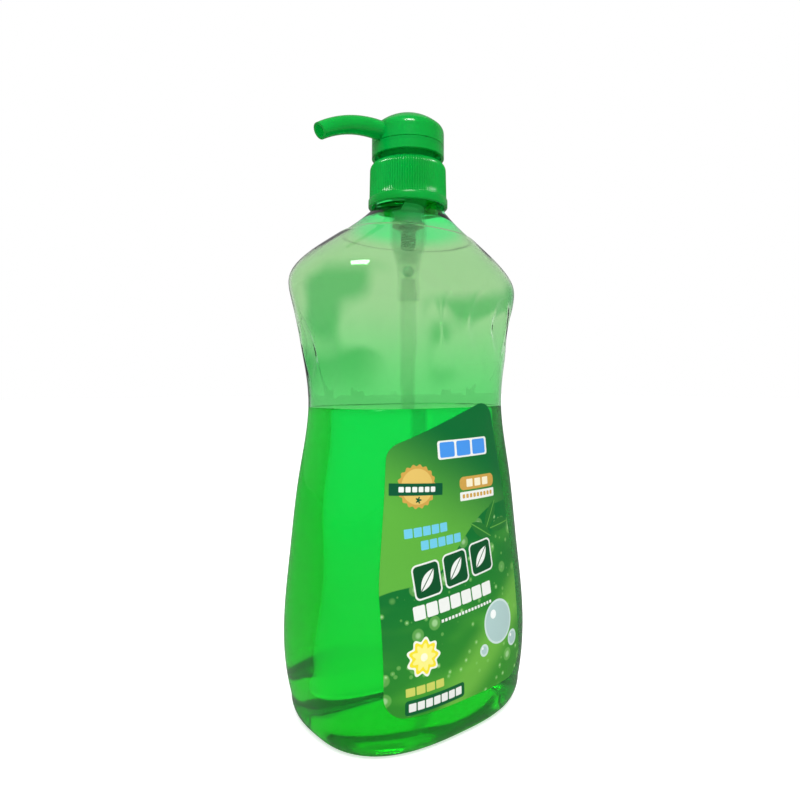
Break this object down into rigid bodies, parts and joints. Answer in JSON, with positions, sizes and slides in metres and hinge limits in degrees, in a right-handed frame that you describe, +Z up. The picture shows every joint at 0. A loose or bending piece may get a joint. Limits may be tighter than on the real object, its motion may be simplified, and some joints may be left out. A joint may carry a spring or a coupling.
{
  "type": "dish_soap_bottle",
  "caption": "Waisted clear green dish soap bottle with grip flutes, film label, green liquid and a locked-down lotion pump with a curved spout",
  "frame": {"origin": "middle of the bottle's foot, on the plane that it stands on", "axes": "+Z up along the pump's axis, -Y the side with the label, -X the way that the spout points"},
  "size_m": [0.1182, 0.0844, 0.2813],
  "materials": {
    "clear_pet": "clear pale green plastic, glossy",
    "green_liquid": "clear green liquid",
    "printed_film": "glossy printed film",
    "emerald_cap": "glossy, slightly see-through",
    "natural_polymer": "milky, smooth",
    "soft_seal": "soft and smooth",
    "spring_steel": "drawn wire",
    "ball_glass": "polished glass"
  },
  "bodies": {
    "bottle": {"bottle": "clear_pet", "detergent": "green_liquid", "front_label": "printed_film"},
    "pump": {"pump_housing": "natural_polymer", "gasket": "soft_seal", "chaplet": "emerald_cap", "dip_tube": "natural_polymer", "ball_retainer": "natural_polymer", "spring": "spring_steel"},
    "closure": {"closure": "emerald_cap"},
    "piston": {"piston": "soft_seal"},
    "head": {"pump_head": "emerald_cap", "stem": "natural_polymer", "piston_seat": "natural_polymer"},
    "inlet_valve": {"inlet_ball": "ball_glass"},
    "outlet_valve": {"outlet_ball": "ball_glass"}
  },
  "joints": [
    {"name": "pump_lift", "type": "slide", "parent": "bottle", "child": "pump", "axis": [0, 0, 1], "range_m": [0, 0.25]},
    {"name": "closure_turn", "type": "hinge", "parent": "pump", "child": "closure", "pos_m": [0, 0, 0.247], "axis": [0, 0, 1], "continuous": true},
    {"name": "plunger_stroke", "type": "slide", "parent": "pump", "child": "piston", "axis": [0, 0, 1], "range_m": [0, 0.014], "deforming": ["spring"]},
    {"name": "head_turn", "type": "hinge", "parent": "piston", "child": "head", "pos_m": [0, 0, 0.27], "axis": [0, 0, 1], "continuous": true},
    {"name": "inlet_ball_lift", "type": "slide", "parent": "pump", "child": "inlet_valve", "axis": [0, 0, 1], "range_m": [0, 0.0012]},
    {"name": "outlet_ball_lift", "type": "slide", "parent": "head", "child": "outlet_valve", "axis": [0, 0, 1], "range_m": [0, 0.0012]}
  ]
}
